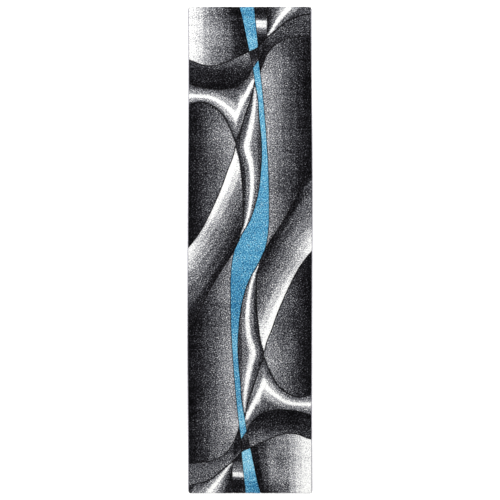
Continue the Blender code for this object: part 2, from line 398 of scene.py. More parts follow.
def dropSides(piece, drops):
    # the rim pulled down in steps, and the underside closed
    rim, points = rimOf(piece.data)
    pick(piece.data, "EDGE", edges=rim, vertices=points)
    for drop in drops:
        bpy.ops.mesh.extrude_edges_move(TRANSFORM_OT_translate={"value": (0, 0, drop)})
    bpy.ops.mesh.edge_face_add()
    faceOutwards()


def pileMap(mesh, spread):
    # seen from above, with the sides laid out round it and the underside small in a corner
    at = readPlaces(mesh)
    low, size = at.min(axis=0), np.ptp(at, axis=0)
    margin = 0.012
    corners = readValues(mesh.loops, "vertex_index")
    flat = (at[:, :2] + spread - low[:2] + margin) / (size[:2] + 2 * margin)
    u, v = 0.02 + 0.9 * flat[corners, 0], 0.02 + 0.96 * flat[corners, 1]
    under = max(mesh.polygons[-3:], key=lambda polygon: polygon.loop_total)
    part = slice(under.loop_start, under.loop_start + under.loop_total)
    own = (at[corners[part]] - low) / size
    u[part], v[part] = 0.95 + 0.03 * own[:, 0], 0.02 + 0.9 * own[:, 1]
    writeMap(mesh, u, v)


def shadeAt(x, y, strokes):
    # brush strokes of tone, each a line of (x, y, tone), blended by nearness
    reach, sharpness = 9, 1.6
    total = np.zeros(x.shape)
    weights = np.zeros(x.shape)
    for stroke in strokes:
        best = np.full(x.shape, 1e9)
        tone = np.zeros(x.shape)
        for (ax, ay, at), (bx, by, bt) in zip(stroke, stroke[1:]):
            run2 = (bx - ax) ** 2 + (by - ay) ** 2
            share = (((x - ax) * (bx - ax) + (y - ay) * (by - ay)) / run2).clip(0, 1)
            d2 = (x - ax - share * (bx - ax)) ** 2 + (y - ay - share * (by - ay)) ** 2
            closer = d2 < best
            best = np.where(closer, d2, best)
            tone = np.where(closer, at + share * (bt - at), tone)
        weight = 1 / (best + reach) ** sharpness
        total += weight * tone
        weights += weight
    return total / weights / 100


def moved(strokes, rise, paler=0):
    return [[(x, y + rise, tone + paler) for x, y, tone in stroke] for stroke in strokes]


# pile yarn

pileYarn = {
    "roughness": 0.95,
    "sheen": 0.015,
    "sheenRoughness": 0.6,
    "fibreSize": 0.9 * mm,     # crimped filaments are about 0.05 mm, drawn coarser so that they show
    "fibreBump": 0.35 * mm,
    "rootShade": 0.42,         # how much light reaches the roots between the tufts
}


def yarnMaterial(name, stops):
    # heat-set synthetic yarn, twisted and matt, with painted shade in the gaps and paler crimped fibres
    material, tree = newMaterial(name)
    where = addNode(tree, "ShaderNodeTexCoord")
    yarn = addNode(tree, "ShaderNodeAttribute", {"attribute_name": "yarnTone"})
    paintedShade = addNode(tree, "ShaderNodeAttribute", {"attribute_name": "paintedPileShade"})
    dye = addNode(tree, "ShaderNodeValToRGB", links={"Fac": yarn.outputs["Fac"]})
    while len(dye.color_ramp.elements) < len(stops):
        dye.color_ramp.elements.new(0.5)
    for element, (place, code) in zip(dye.color_ramp.elements, stops):
        element.position = place
        element.color = colour(code)
    fibre = addNode(tree, "ShaderNodeTexNoise",
                    values={"Scale": 1 / pileYarn["fibreSize"], "Detail": 3.0, "Roughness": 0.6},
                    links={"Vector": where.outputs["Object"]})
    fibreToneAndPaintedShade = dye.outputs["Color"]
    # the fibre noise varies the yarn's own tone; the second factor is painted shade between the tufts and down
    # their sides, darkest at the roots
    for source, span, light in ((fibre.outputs["Fac"], (0.3, 0.7), (0.86, 1.08)),
                                (paintedShade.outputs["Fac"], (0.0, 0.8), (pileYarn["rootShade"], 1.0))):
        shade = addNode(tree, "ShaderNodeMapRange", links={"Value": source},
                        values={"From Min": span[0], "From Max": span[1], "To Min": light[0], "To Max": light[1]})
        fibreToneAndPaintedShade = addNode(tree, "ShaderNodeVectorMath", {"operation": "SCALE"},
                       links={"Vector": fibreToneAndPaintedShade, "Scale": shade.outputs["Result"]}).outputs["Vector"]
    fuzz = addNode(tree, "ShaderNodeBump", values={"Strength": 0.6, "Distance": pileYarn["fibreBump"]},
                   links={"Height": fibre.outputs["Fac"]})
    body = addNode(tree, "ShaderNodeBsdfPrincipled",
                   values={"Roughness": pileYarn["roughness"], "IOR": 1.49, "Specular IOR Level": 0.02,
                           "Sheen Weight": pileYarn["sheen"], "Sheen Roughness": pileYarn["sheenRoughness"]},
                   links={"Base Color": fibreToneAndPaintedShade, "Normal": fuzz.outputs["Normal"]})
    addNode(tree, "ShaderNodeOutputMaterial", links={"Surface": body.outputs["BSDF"]})
    return material


# polypropylene in black, charcoal, two greys and ivory, laid in by the loom as a mixture
greyYarns = yarnMaterial("polypropylenePileGreys", [
    (0.00, "#020203"), (0.11, "#09090b"), (0.20, "#1f1e22"), (0.30, "#3a3a3f"), (0.45, "#65666b"),
    (0.60, "#929397"), (0.75, "#c0c0c3"), (0.88, "#e9e9e8"), (0.95, "#fbfbf9"), (1.00, "#fdfdfb")])
# polypropylene space-dyed blue, from a deep dye batch to a pale one
blueYarns = yarnMaterial("polypropylenePileBlues", [
    (0.10, "#0b314d"), (0.25, "#194e74"), (0.38, "#2d6c95"), (0.50, "#4186ae"), (0.60, "#559cc0"),
    (0.70, "#6db4d2"), (0.82, "#8fcbe0"), (1.00, "#c2e5ed")])

carving = {
    "overhang": 0.8 * mm,      # yarn ends flop over the carved line by up to this much
    "sideShare": 0.2,          # less of it along the serging
    "endShare": 2.2,           # and more at the cut ends
    "shoulder": 3.5 * mm,      # the shears round a field off over this width
    "shoulderDrop": 1.9 * mm,
    "waist": 0.45,             # how far down the sides the ring of points between top and roots stands
    "tuck": 0.3,               # in millimetres, how far the ring stands back from the line
    "unevenness": 0.8,         # and how unevenly
    "rootTuck": 0.6 * mm,
    "lineHalf": 1.5 * mm,      # half a carved line
}
mixture = {
    "cloud": (0.055, 0.07, 5),       # size across and along and seed of the pile's soft clouds
    "loomRows": (0.16, 0.009, 6),    # and of the rows that the loom leaves
    "grain": (0.42, 2.3),            # least grain, and what mid greys add, where two yarns meet
}
patternShift = (-1.0, 2.0)     # the rug is cut a little off the pattern's middle, in millimetres
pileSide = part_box("leaf_field_north")[1][0]


def turnedName(name, end):
    return name if name.endswith("_middle") else f"{name}_{end}"


def makePile(field, end):
    # one carved field of standing tufts; the south one is the north one turned half round
    node = turnedName(field["node"], end)
    name = field["name"] + ("" if field["node"].endswith("_middle") else end.capitalize())
    half = -1 if end == "south" else 1
    low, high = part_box(node)
    outline = topOutline(node)
    piece = cutFromGrid(name, outline, low, high)
    mesh = piece.data

    # rim points go onto the carved line, their yarn flopping over it a little
    at = readPlaces(mesh)
    local = np.random.default_rng(abs(int(low[0] * 1e4)) + abs(int(low[1] * 1e4)) + (7 if half < 0 else 0))
    rim = rimOf(mesh)[1]
    _, nearest, outward = nearestOnOutline(at[rim, :2], outline)
    atSide = (np.abs(nearest[:, 0]) > pileSide - 0.5 * mm)[:, None]
    atEnd = (np.abs(nearest[:, 1]) > cadBounds[1][1] - 0.5 * mm)[:, None]
    share = np.where(atSide, carving["sideShare"], np.where(atEnd, carving["endShare"], 1))
    at[rim, :2] = nearest + outward * local.uniform(0, 1, (rim.sum(), 1)) * carving["overhang"] * share
    writePlaces(mesh, at)
    deep = high[2] - low[2]
    dropSides(piece, (-carving["waist"] * deep, -(1 - carving["waist"]) * deep))

    # tufts: domes with dark gaps between, sheared off lower along the carved lines
    at = readPlaces(mesh)
    top = at[:, 2] > high[2] - 0.01 * mm
    bottom = at[:, 2] < low[2] + 0.01 * mm
    waist = ~top & ~bottom
    row, col, first, second = nearestTufts(at[:, 0], at[:, 1])
    ridge = smoothStep((second - first) / loom["gauge"] * loom["crown"])
    toEdge, out = nearEdge(at[:, :2], outline)
    height = loom["valley"] + (tuftTip[row, col] - loom["valley"]) * ridge
    shoulder = (1 - toEdge / carving["shoulder"]).clip(0, 1)
    height -= carving["shoulderDrop"] * shoulder ** 2 * (1 - 0.35 * ridge)
    uneven = carving["unevenness"]
    at[top, 2] = height[top]
    at[waist, :2] -= out[waist] * (carving["tuck"] + local.uniform(0, uneven, (waist.sum(), 1))) * mm
    at[waist, 2] += local.uniform(-uneven, uneven, waist.sum()) * mm
    at[bottom, :2] -= out[bottom] * carving["rootTuck"]

    # yarn colour, one for each tuft, and the painted shade of the pile
    x, y = tuftX[row, col], tuftY[row, col]
    strokes = field.get("shade" + end.capitalize(), field["shade"])
    tone = shadeAt((x / mm - patternShift[0]) * half, (y / mm - patternShift[1]) * half, strokes)
    for neighbour, reach, dark in field.get("lines", ()):
        lineGap = nearestOnOutline(np.stack([x, y], axis=1), topOutline(turnedName(neighbour, end)))[0]
        tone += (dark / 100 - tone) * smoothStep(1.4 - (lineGap - carving["lineHalf"]) / (reach * mm))
    tone += field.get("cloud", 0.03) * softNoise(x, y, *mixture["cloud"])
    tone += field.get("loomRows", 0.02) * softNoise(x, y, *mixture["loomRows"])
    least, added = mixture["grain"]
    mid = tone.clip(0, 1)
    tone += field.get("grain", 0.178) * (least + added * mid * (1 - mid)) * tuftGrain[row, col]
    # painted shade: full light on the tufts' tips, darker into the gaps between them, on the sides and roots, and
    # on the shoulders by the carved lines
    paintedShade = np.where(top, 0.25 + 0.75 * ridge, np.where(waist, 0.25, 0.0)) * (1 - 0.35 * shoulder)

    writeYarn(mesh, tone.clip(0, 1), paintedShade)
    pileMap(mesh, out * np.where(top, 0, np.where(bottom, 9, 4))[:, None] * mm)
    writePlaces(mesh, at)
    bpy.ops.object.shade_smooth()
    settleIn(piece, field.get("yarn", greyYarns), node)
    print(f"{piece.name}: {len(mesh.vertices)} points")


# the pattern's shading for the north half: strokes of (x, y, tone), in millimetres from the pattern's
# middle, with tone 0 for black and 100 for ivory; lines are dark edges beside a neighbour, with their reach

drum = {
    "name": "drumPile", "node": "drum_field", "slot": "pile_grey", "loomRows": 0.045,
    "lines": [("blue_ribbon_end", 6, 10)],
    "shade": [
        [(-302, 920, 90), (-302, 1215, 92)],
        [(-276, 920, 85), (-276, 1080, 85), (-276, 1215, 88)],
        [(-248, 915, 76), (-248, 1080, 79), (-248, 1215, 82)],
        [(-218, 905, 58), (-218, 1080, 64), (-218, 1150, 61), (-218, 1215, 65)],
        [(-184, 915, 46), (-184, 1040, 56), (-184, 1100, 54), (-184, 1150, 46), (-184, 1215, 52)],
        [(-146, 925, 39), (-146, 1040, 51), (-146, 1100, 47), (-146, 1150, 37), (-146, 1215, 43)],
        [(-108, 935, 32), (-108, 1040, 40), (-112, 1100, 36), (-116, 1150, 29), (-120, 1215, 30)],
        [(-88, 1215, 16), (-80, 1143, 17), (-66, 1044, 20), (-54, 970, 17)],
        [(-64, 1215, 11), (-50, 1143, 12), (-32, 1044, 13), (-20, 985, 12)],
    ],
    "shadeSouth": [
        [(-302, 920, 95), (-302, 1215, 95)],
        [(-272, 920, 92), (-272, 1215, 93)],
        [(-242, 915, 79), (-242, 1080, 82), (-242, 1215, 84)],
        [(-212, 905, 64), (-212, 1080, 68), (-212, 1160, 64), (-212, 1215, 70)],
        [(-182, 915, 53), (-182, 1043, 54), (-182, 1111, 53), (-180, 1150, 42), (-182, 1178, 36),
         (-182, 1215, 44)],
        [(-148, 925, 48), (-148, 976, 50), (-150, 1043, 42), (-148, 1111, 53), (-148, 1178, 35),
         (-148, 1215, 38)],
        [(-112, 935, 38), (-112, 1043, 54), (-112, 1111, 55), (-112, 1178, 29), (-112, 1215, 27)],
        [(-88, 1215, 17), (-80, 1143, 28), (-66, 1044, 34), (-54, 970, 24)],
        [(-64, 1215, 11), (-50, 1143, 13), (-32, 1044, 14), (-20, 985, 13)],
    ],
}
slot = {
    "name": "slotPile", "node": "slot_field", "slot": "pile_dark", "grain": 0.145,
    "shade": [
        [(20, 1215, 15), (90, 1215, 14)],
        [(20, 1170, 15), (90, 1170, 13)],
        [(20, 1148, 24), (90, 1148, 18)],
        [(20, 1136, 50), (90, 1136, 38)],
        [(20, 1127, 95), (82, 1127, 93), (90, 1127, 30)],
        [(20, 1103, 93), (82, 1103, 95), (90, 1103, 30)],
        [(20, 1092, 55), (82, 1092, 60), (90, 1092, 20)],
        [(30, 1076, 42), (80, 1076, 42)],
        [(35, 1058, 24), (80, 1058, 22)],
        [(38, 1035, 14), (70, 1035, 13)],
        [(40, 1010, 11), (55, 1015, 13)],
    ],
    "shadeSouth": [
        [(20, 1215, 15), (90, 1215, 14)],
        [(20, 1162, 14), (90, 1162, 13)],
        [(20, 1142, 17), (90, 1142, 15)],
        [(20, 1129, 42), (90, 1127, 34)],
        [(20, 1119, 95), (84, 1115, 93), (92, 1112, 40)],
        [(20, 1108, 95), (84, 1104, 93), (92, 1104, 40)],
        [(20, 1096, 56), (90, 1092, 54)],
        [(20, 1078, 46), (90, 1076, 44)],
        [(30, 1058, 42), (86, 1058, 38)],
        [(38, 1040, 20), (74, 1040, 17)],
        [(40, 1010, 11), (55, 1015, 13)],
    ],
}
corner = {
    "name": "cornerPile", "node": "corner_field", "slot": "pile_grey", "grain": 0.165,
    "lines": [("slot_field", 4, 12), ("dark_band_right", 3.5, 9)],
    "shade": [
        [(212, 1215, 98), (185, 1182, 98), (155, 1153, 98), (131, 1119, 96), (110, 1087, 93), (96, 1060, 80),
         (84, 1042, 40)],
        [(184, 1215, 84), (157, 1182, 70), (131, 1150, 50), (114, 1120, 38), (100, 1088, 32)],
        [(154, 1215, 46), (128, 1182, 38), (108, 1150, 24), (96, 1110, 24), (91, 1075, 24)],
        [(112, 1215, 22), (98, 1170, 16), (92, 1120, 15)],
        [(246, 1215, 65), (228, 1194, 60), (200, 1160, 46), (168, 1126, 35), (142, 1096, 34)],
        [(284, 1215, 44), (262, 1194, 36), (236, 1168, 30), (206, 1145, 26)],
        [(306, 1215, 34), (300, 1172, 33)],
    ],
    "shadeSouth": [
        [(215, 1215, 99), (192, 1186, 98), (164, 1151, 98), (131, 1111, 97), (109, 1079, 96), (97, 1052, 80),
         (84, 1041, 40)],
        [(188, 1215, 86), (166, 1181, 76), (142, 1146, 62), (118, 1110, 46), (101, 1080, 36)],
        [(164, 1215, 50), (144, 1181, 42), (123, 1146, 34), (104, 1110, 26), (94, 1078, 26)],
        [(120, 1215, 20), (104, 1170, 16), (93, 1120, 14)],
        [(248, 1215, 60), (228, 1181, 60), (192, 1146, 52), (158, 1108, 48), (132, 1080, 53)],
        [(284, 1215, 52), (262, 1188, 47), (236, 1166, 36), (206, 1144, 28)],
        [(306, 1215, 26), (300, 1176, 18)],
    ],
}
darkBandLeft = {
    "name": "darkBandLeftPile", "node": "dark_band_left", "slot": "pile_dark",
    "lines": [("drum_field", 3, 16)],
    "shade": [
        [(-305, 930, 20), (-235, 903, 25), (-175, 900, 27), (-116, 915, 35), (-64, 937, 40), (-15, 962, 43)],
        [(-305, 890, 17), (-200, 878, 18), (-110, 885, 21), (-40, 905, 28), (-5, 925, 36)],
        [(-305, 860, 13), (-200, 848, 13), (-100, 855, 15), (-20, 885, 20), (5, 900, 25)],
        [(-305, 834, 10), (-257, 814, 10), (-200, 803, 10), (-147, 800, 10), (-99, 804, 11), (-60, 815, 12),
         (-32, 840, 13), (-10, 868, 16)],
    ],
}
bandCrossing = {
    "name": "bandCrossingPile", "node": "band_crossing", "slot": "pile_dark", "grain": 0.165,
    "shade": [
        [(0, 975, 17), (38, 992, 11)],
        [(-1, 950, 17), (40, 955, 15)],
        [(6, 928, 28), (34, 932, 24)],
        [(12, 908, 30), (25, 912, 34)],
    ],
}
darkBandRight = {
    "name": "darkBandRightPile", "node": "dark_band_right", "slot": "pile_dark",
    "lines": [("leaf_field", 3, 15), ("corner_field", 2.5, 10)],
    "shade": [
        [(46, 985, 16), (47, 945, 11), (56, 905, 13)],
        [(60, 960, 12), (78, 980, 13), (70, 1005, 15)],
        [(50, 1006, 27), (72, 1024, 22), (90, 1042, 30)],
        [(95, 1052, 36), (122, 1078, 33), (160, 1106, 31), (210, 1138, 27), (300, 1162, 31)],
        [(100, 1020, 28), (150, 1062, 29), (220, 1090, 31), (300, 1108, 26)],
        [(84, 975, 15), (112, 1012, 22), (150, 1040, 24), (220, 1062, 26), (300, 1070, 22)],
    ],
}
darkBandRight["shadeSouth"] = darkBandRight["shade"][:2] + moved(darkBandRight["shade"][2:], 0, 9)
leaf = {
    "name": "leafPile", "node": "leaf_field", "slot": "pile_grey", "loomRows": 0.035,
    "shade": [
        [(60, 905, 52), (70, 840, 66), (74, 760, 56), (82, 660, 58), (88, 560, 60), (96, 470, 54),
         (102, 380, 50), (102, 300, 46), (103, 220, 52), (101, 120, 52), (95, 60, 50), (84, 20, 45)],
        [(98, 965, 46), (100, 900, 56), (100, 820, 60), (104, 700, 56), (112, 560, 53), (122, 470, 51),
         (124, 380, 46), (124, 300, 42), (126, 200, 46), (124, 110, 44)],
        [(136, 1005, 40), (140, 960, 45), (140, 840, 49), (140, 560, 47), (150, 440, 42), (150, 340, 38),
         (148, 220, 40), (145, 150, 40)],
        [(178, 1032, 31), (178, 960, 37), (176, 840, 38), (176, 560, 35), (180, 340, 32), (176, 220, 32)],
        [(214, 1040, 22), (214, 960, 26), (214, 840, 28), (214, 560, 26), (214, 340, 25)],
        [(250, 1045, 17), (250, 840, 20), (250, 560, 18), (250, 370, 14)],
        [(280, 1050, 11), (280, 840, 12), (280, 560, 13), (280, 390, 11)],
        [(302, 1050, 11), (302, 840, 9), (302, 560, 10), (302, 400, 9)],
        [(98, 48, 42), (124, 94, 40), (148, 134, 39), (168, 172, 34), (190, 216, 26), (212, 256, 23),
         (236, 302, 18), (268, 352, 13), (302, 392, 10)],
    ],
}
leaf["shadeSouth"] = leaf["shade"] + [
    [(63, 892, 74), (70, 850, 74)], [(150, 1018, 44), (200, 1030, 34)], [(122, 780, 48), (146, 770, 43)]]
fan = {
    "name": "fanPile", "node": "fan_field", "slot": "pile_pale", "grain": 0.165,
    "lines": [("blade_field", 3.5, 14), ("oval_field", 4, 16)],
    "shade": [
        [(-305, 758, 96), (-257, 758, 96), (-215, 755, 97), (-190, 749, 97), (-170, 741, 97), (-150, 728, 97),
         (-130, 715, 98), (-110, 699, 98), (-90, 681, 98), (-73, 657, 98), (-71, 638, 92)],
        [(-305, 778, 58), (-240, 777, 54), (-200, 773, 52), (-165, 762, 58), (-130, 740, 62), (-105, 722, 64),
         (-84, 706, 70), (-70, 694, 70)],
        [(-305, 739, 58), (-257, 741, 60), (-215, 739, 64), (-182, 727, 64), (-152, 708, 68), (-127, 687, 70),
         (-107, 664, 68), (-93, 640, 58), (-84, 618, 44)],
        [(-305, 800, 36), (-240, 792, 38), (-170, 781, 38), (-120, 770, 34), (-75, 754, 34), (-69, 730, 46),
         (-67, 710, 58)],
        [(-305, 723, 36), (-255, 735, 42), (-217, 731, 44), (-177, 711, 42), (-133, 672, 44), (-106, 628, 36),
         (-90, 592, 30)],
        [(-305, 820, 28), (-257, 799, 28), (-200, 790, 30), (-147, 787, 28), (-100, 792, 26), (-60, 800, 26),
         (-30, 824, 30), (-9, 847, 34)],
        [(-72, 650, 98), (-63, 674, 97), (-52, 710, 97), (-32, 739, 97), (-16, 768, 96), (1, 797, 97),
         (14, 826, 94)],
        [(-38, 778, 44), (-27, 808, 39), (-12, 830, 42), (2, 852, 38)],
        [(12, 788, 38), (4, 758, 34), (-10, 732, 44), (-30, 688, 50), (-36, 678, 52), (-54, 636, 44),
         (-63, 606, 38)],
        [(-71, 620, 66), (-71, 596, 48), (-72, 568, 33), (-72, 542, 22)],
    ],
}
fan["shadeSouth"] = moved(fan["shade"][:6], 6) + fan["shade"][6:]
blade = {
    "name": "bladePile", "node": "blade_field", "slot": "pile_pale", "grain": 0.165,
    "lines": [("blue_ribbon_middle", 3, 14), ("fan_field", 3, 13), ("swoosh_field", 3.5, 14)],
    "shade": [
        [(28, 800, 80), (27, 770, 80), (24, 735, 90), (21, 694, 96), (15, 655, 95), (8, 613, 94), (-2, 575, 94),
         (-13, 541, 94), (-22, 510, 94), (-16, 484, 94), (-5, 454, 94), (5, 422, 95), (9, 385, 96),
         (11, 345, 96), (10, 296, 96), (6, 255, 96), (2, 220, 96), (-3, 184, 96), (-13, 149, 94),
         (-23, 111, 92), (-40, 77, 95), (-60, 35, 90)],
        [(16, 800, 32), (12, 778, 26), (7, 745, 34), (0, 705, 35), (-10, 665, 33), (-22, 630, 30),
         (-29, 600, 29), (-35, 570, 34), (-42, 538, 42), (-43, 505, 46), (-38, 475, 42), (-30, 445, 38),
         (-19, 410, 42), (-12, 370, 47), (-11, 300, 47), (-13, 250, 44), (-19, 210, 42), (-26, 170, 34),
         (-34, 135, 22), (-42, 104, 16)],
        [(-46, 568, 16), (-56, 520, 22), (-56, 480, 20), (-42, 425, 20), (-32, 390, 20), (-28, 340, 19),
         (-27, 270, 20), (-29, 200, 18)],
        [(36, 770, 60), (36, 735, 58), (36, 694, 52), (32, 645, 56), (28, 600, 52), (24, 560, 50),
         (22, 520, 46), (24, 480, 44), (28, 440, 48), (31, 400, 52), (33, 345, 46), (29, 290, 41),
         (22, 245, 41), (14, 210, 40), (4, 172, 42), (-8, 135, 44), (-22, 92, 46)],
        [(42, 660, 42), (44, 600, 38), (47, 540, 28), (49, 480, 24), (47, 420, 28), (44, 350, 32),
         (37, 290, 30)],
    ],
}
oval = {
    "name": "ovalPile", "node": "oval_field", "slot": "pile_dark",
    "lines": [("fan_field", 4, 13), ("swoosh_field", 3, 16)],
    "shade": [
        [(-302, 720, 10), (-302, 380, 9), (-302, 20, 9)],
        [(-275, 725, 14), (-275, 380, 12), (-275, 60, 11)],
        [(-248, 722, 20), (-248, 560, 20), (-248, 380, 18), (-248, 110, 19)],
        [(-225, 718, 25), (-225, 560, 29), (-225, 380, 23), (-225, 160, 26)],
        [(-200, 708, 33), (-200, 560, 37), (-200, 380, 30), (-200, 210, 34)],
        [(-175, 685, 39), (-175, 560, 45), (-175, 400, 33), (-175, 260, 37)],
        [(-148, 650, 43), (-148, 560, 50), (-148, 470, 42), (-148, 380, 39), (-148, 320, 42)],
        [(-120, 610, 50), (-120, 560, 56), (-120, 470, 50), (-120, 400, 47)],
        [(-94, 570, 54), (-92, 530, 58), (-92, 470, 55), (-100, 430, 52)],
    ],
}
swoosh = {
    "name": "swooshPile", "node": "swoosh_field", "slot": "pile_pale",
    "lines": [("blade_field", 4, 14), ("blue_ribbon_middle", 3, 13)],
    "shade": [
        [(-68, 495, 90), (-72, 450, 99), (-90, 400, 99), (-112, 345, 98), (-135, 290, 96), (-156, 245, 95),
         (-178, 200, 94), (-200, 150, 88), (-222, 110, 80), (-246, 70, 76), (-268, 38, 79), (-290, 8, 90),
         (-303, -10, 95)],
        [(-62, 450, 85), (-60, 400, 90), (-72, 350, 80), (-92, 300, 76), (-116, 250, 73), (-138, 200, 74),
         (-163, 150, 70), (-188, 105, 62), (-214, 60, 61), (-240, 20, 71), (-266, -15, 77), (-300, -45, 88)],
        [(-46, 380, 76), (-52, 340, 60), (-64, 300, 53), (-80, 255, 51), (-100, 210, 47), (-124, 165, 50),
         (-148, 120, 50), (-172, 80, 46), (-196, 35, 49), (-222, -5, 58), (-252, -45, 62), (-300, -85, 74)],
        [(-44, 290, 44), (-55, 245, 40), (-70, 200, 37), (-90, 150, 35), (-112, 105, 36), (-136, 65, 37),
         (-160, 25, 38), (-186, -15, 42), (-220, -60, 48), (-262, -110, 50), (-300, -135, 51)],
        [(-40, 230, 30), (-48, 170, 27), (-62, 120, 25), (-80, 75, 23), (-102, 30, 23), (-126, -10, 23),
         (-152, -55, 24), (-185, -105, 28), (-225, -160, 37), (-268, -205, 36), (-300, -225, 35)],
        [(-60, 95, 16), (-80, 45, 16), (-98, 0, 14), (-116, -40, 12), (-148, -90, 13), (-180, -146, 14),
         (-210, -204, 15), (-232, -258, 15), (-262, -318, 15), (-300, -376, 14)],
    ],
}
swoosh["shadeSouth"] = swoosh["shade"] + [
    [(-250, -190, 48), (-300, -225, 52)], [(-266, -288, 28), (-302, -325, 36)]]
ribbonMiddle = {
    "name": "ribbonPileMiddle", "node": "blue_ribbon_middle", "slot": "pile_blue", "yarn": blueYarns,
    "cloud": 0.04, "loomRows": 0.045,
    "shade": [
        [(38, 925, 62), (35, 900, 64), (42, 850, 64), (46, 800, 68), (52, 740, 65), (58, 660, 64),
         (66, 580, 70), (72, 500, 65), (72, 440, 64), (72, 383, 63), (68, 320, 58), (62, 260, 58),
         (55, 200, 60), (45, 120, 54), (30, 60, 58), (0, 0, 57), (-30, -60, 56), (-45, -120, 54),
         (-55, -200, 47), (-62, -260, 40), (-68, -320, 43), (-72, -383, 52), (-72, -440, 60), (-72, -500, 64),
         (-66, -580, 60), (-58, -660, 58), (-52, -740, 55), (-46, -800, 66), (-42, -850, 73), (-35, -900, 58),
         (-38, -925, 60)],
    ],
}
ribbonEnd = {
    "name": "ribbonPile", "node": "blue_ribbon_end", "slot": "pile_blue", "yarn": blueYarns,
    "cloud": 0.04, "loomRows": 0.06,
    "shade": [
        [(-22, 1200, 60), (-18, 1182, 58), (-15, 1162, 47), (-10, 1135, 57), (0, 1100, 58), (5, 1070, 60),
         (12, 1040, 68), (18, 1010, 64)],
    ],
    "shadeSouth": [
        [(-22, 1200, 50), (-18, 1182, 48), (-15, 1162, 45), (-10, 1135, 64), (0, 1100, 72), (5, 1070, 77),
         (12, 1040, 75), (18, 1010, 71)],
    ],
}

makePile(ribbonMiddle, "north")
for field in (ribbonEnd, drum, slot, corner, darkBandLeft, bandCrossing, darkBandRight,
              leaf, fan, blade, oval, swoosh):
    for end in ("north", "south"):
        makePile(field, end)
print("pile finished")


# serging: pale yarn wound round each long side, over the cord and the ground's edge

serging = {
    "wrap": 2.9 * mm,          # one turn of yarn to the next
    "rings": 3,                # rings of points in one turn
    "bulge": 0.5 * mm,
    "size": (0.75, 1.2),       # thinnest and thickest turn
    "shift": 0.2 * mm,
    "slant": 1.5 * mm,
    "slantGrows": 6 * mm,      # the turns lie straight at the ends, and slant from here on
    "end": 1192.0 * mm,
    # its section in millimetres from the inner edge of the upper lip, over the outside, and back along the slot
    "section": [(0.0, 4.2), (0.3, 5.3), (1.7, 5.8), (3.7, 5.4), (4.8, 4.1), (5.0, 2.4), (4.6, 0.7), (3.2, 0.0),
                (0.3, 0.0), (0.1, 0.62), (2.7, 0.6), (4.15, 2.2), (2.7, 3.8), (0.1, 3.8)],
    "outside": 9,              # so many of these points are on the yarn's outside
    "middle": (2.5, 2.9),
    "mapRows": 8,
}


def stripMap(mesh, around, rows, start, length):
    # a long strip's map, cut into rows that lie above each other
    corners = readValues(mesh.loops, "vertex_index")
    total = readValues(mesh.polygons, "loop_total")
    face = np.repeat(np.arange(len(total)), total)
    along = (readPlaces(mesh)[corners, 1] - start) / length * rows
    row = np.floor(np.bincount(face, along) / total).clip(0, rows - 1)[face]
    turn = around[corners]
    most = np.zeros(len(total))
    np.maximum.at(most, face, turn)
    turn = np.where((most[face] > 0.6) & (turn < 0.3), turn + 1, turn)
    writeMap(mesh, 0.01 + 0.96 * (along - row), (row + 0.02 + 0.85 * turn / 1.1) / rows)


